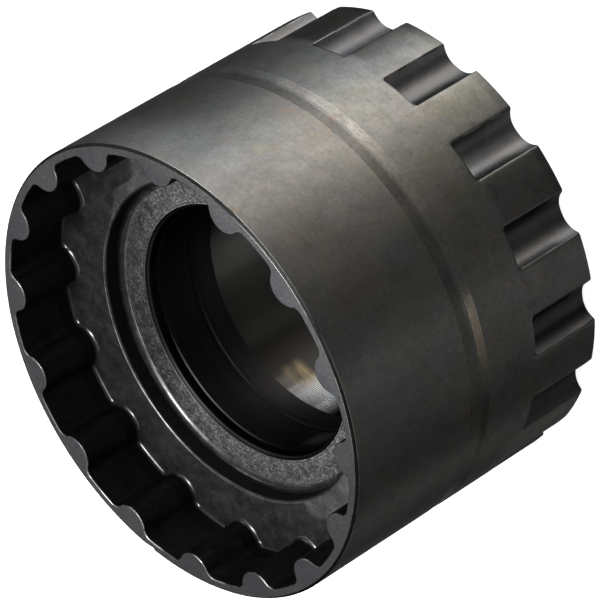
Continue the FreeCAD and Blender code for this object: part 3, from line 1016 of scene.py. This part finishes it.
def pale(name, base, glow):
    n = Nodes(name)
    n.p.inputs["Base Color"].default_value = (base, base, base, 1)
    n.p.inputs["Roughness"].default_value = 0.9
    n.p.inputs["Specular IOR Level"].default_value = 0.0
    n.p.inputs["Emission Color"].default_value = (1, 1, 1, 1)
    n.p.inputs["Emission Strength"].default_value = glow
    return n.mat


floor = disc("floor", 3.0, -0.00002)
floor.data.materials.append(pale("floor_white", 0.6, 0.85))
floor.visible_glossy = False
backdrop = dome("backdrop", 2.9)
backdrop.data.materials.append(pale("backdrop_white", 0.0, 1.05))
for flag in ("visible_glossy", "visible_diffuse", "visible_shadow", "visible_transmission"):
    setattr(backdrop, flag, False)

# ---- studio light: soft lobes of a surrounding studio ------------------------
world = bpy.data.worlds.new("studio")
bpy.context.scene.world = world
world.use_nodes = True
wt = world.node_tree
wt.nodes.clear()
w_out = wt.nodes.new("ShaderNodeOutputWorld")
w_tex = wt.nodes.new("ShaderNodeTexCoord")
w_dir = w_tex.outputs["Generated"]


def wmath(op, a, b=0.0):
    n = wt.nodes.new("ShaderNodeMath")
    n.operation = op
    for s, x in zip(n.inputs, (a, b)):
        if isinstance(x, bpy.types.NodeSocket):
            wt.links.new(x, s)
        else:
            s.default_value = x
    return n.outputs[0]


def lobe(az, el, spread, level):
    """A round soft light in a direction, in degrees; spread is the angle at
    which it has fallen to about a third."""
    a, e = math.radians(az), math.radians(el)
    d = wt.nodes.new("ShaderNodeVectorMath")
    d.operation = "DOT_PRODUCT"
    wt.links.new(w_dir, d.inputs[0])
    d.inputs[1].default_value = (math.cos(a) * math.cos(e), math.sin(a) * math.cos(e), math.sin(e))
    up_to = wmath("MAXIMUM", d.outputs["Value"], 0.0)
    return wmath("MULTIPLY", wmath("POWER", up_to, 1 / (1 - math.cos(math.radians(spread)))), level)


def add_up(parts):
    total = parts[0]
    for x in parts[1:]:
        total = wmath("ADD", total, x)
    return total


def light_world(warm, cool, plain, ambient):
    """Warm, cool and plain soft lights over an even ambient."""
    parts = []
    for group, colour in ((warm, (1.0, .925, .835)), (cool, (.955, 1.0, 1.06)), (plain, (1, 1, 1)), (None, (1, 1, 1))):
        if group is not None and not group:
            continue
        bg = wt.nodes.new("ShaderNodeBackground")
        bg.inputs["Color"].default_value = (*colour, 1)
        if group is None:
            bg.inputs["Strength"].default_value = ambient
        else:
            wt.links.new(add_up([lobe(*x) for x in group]), bg.inputs["Strength"])
        parts.append(bg.outputs[0])
    total = parts[0]
    for x in parts[1:]:
        ad = wt.nodes.new("ShaderNodeAddShader")
        wt.links.new(total, ad.inputs[0])
        wt.links.new(x, ad.inputs[1])
        total = ad.outputs[0]
    wt.links.new(total, w_out.inputs[0])


WARM = [(70, -34, 10, 5.0), (50, -34, 10, 1.8), (30, -34, 10, .60)]
COOL = [(150, -34, 10, .37), (130, -34, 10, .74), (110, -34, 10, 1.85)]
PLAIN = [
    (90, -34, 10, 3.95), (10, -34, 10, .165),
    (-10, -34, 10, .145), (-31, -34, 10, .44), (-55, -34, 10, .11), (-110, -34, 10, .37),
    (90, -56, 13, 2.2), (60, -56, 13, .48), (-60, -56, 13, .63),
    (85, -8, 12, 5.0), (60, -8, 12, 5.0), (35, -8, 12, 3.0), (100, 20, 14, 1.5), (0, 20, 14, .3),
    (60, 76, 22, 3.1), (60, 76, 11, 9.0), (60, 76, 5.5, 33.0), (200, 68, 14, 6.0), (195, 34, 11, .38),
]
light_world(WARM, COOL, PLAIN, 0.135)

# a lamp over the mouth, which the face and the seat mirror
lamp = bpy.data.objects.new("mouth_lamp", bpy.data.lights.new("mouth_lamp", "AREA"))
bpy.context.scene.collection.objects.link(lamp)
lamp.data.shape = "RECTANGLE"
lamp.data.size, lamp.data.size_y = 0.085, 0.042
lamp.data.energy = 0.0046
lamp.visible_camera = False
aim = Vector((-math.cos(math.radians(15)) * math.cos(math.radians(34)),
              -math.sin(math.radians(15)) * math.cos(math.radians(34)), math.sin(math.radians(34))))
across = Vector((-aim.y, aim.x, 0.0)).normalized()
rise = across.cross(-aim)
if rise.z < 0:
    across, rise = -across, -rise
# its lower edge is what the seat mirrors as a sharp boundary
spot = Vector((0.010, 0.006, 0.030)) + aim * 0.105 + rise * 0.009
face_to = Matrix((rise.cross(aim), rise, aim)).transposed()
lamp.matrix_world = Matrix.Translation(spot) @ face_to.to_4x4()

# ---- camera ------------------------------------------------------------------
cam = bpy.data.objects.new("camera", bpy.data.cameras.new("camera"))
bpy.context.scene.collection.objects.link(cam)
cam.data.sensor_width = 36.0
cam.data.lens = 307.8389
cam.data.clip_start, cam.data.clip_end = 0.01, 20.0
right = Vector((0.6098586, -0.37112021, -0.70024444))
up = Vector((0.06150397, 0.9030764, -0.42505326))
back = Vector((0.79012009, 0.21615457, 0.57357427))
rot = Matrix((right, up, back)).transposed()
cam.matrix_world = Matrix.Translation((0.3601321, 0.0984444, 0.27625712)) @ rot.to_4x4()
bpy.context.scene.camera = cam

scene = bpy.context.scene
scene.view_settings.view_transform = "Standard"
scene.view_settings.look = "None"
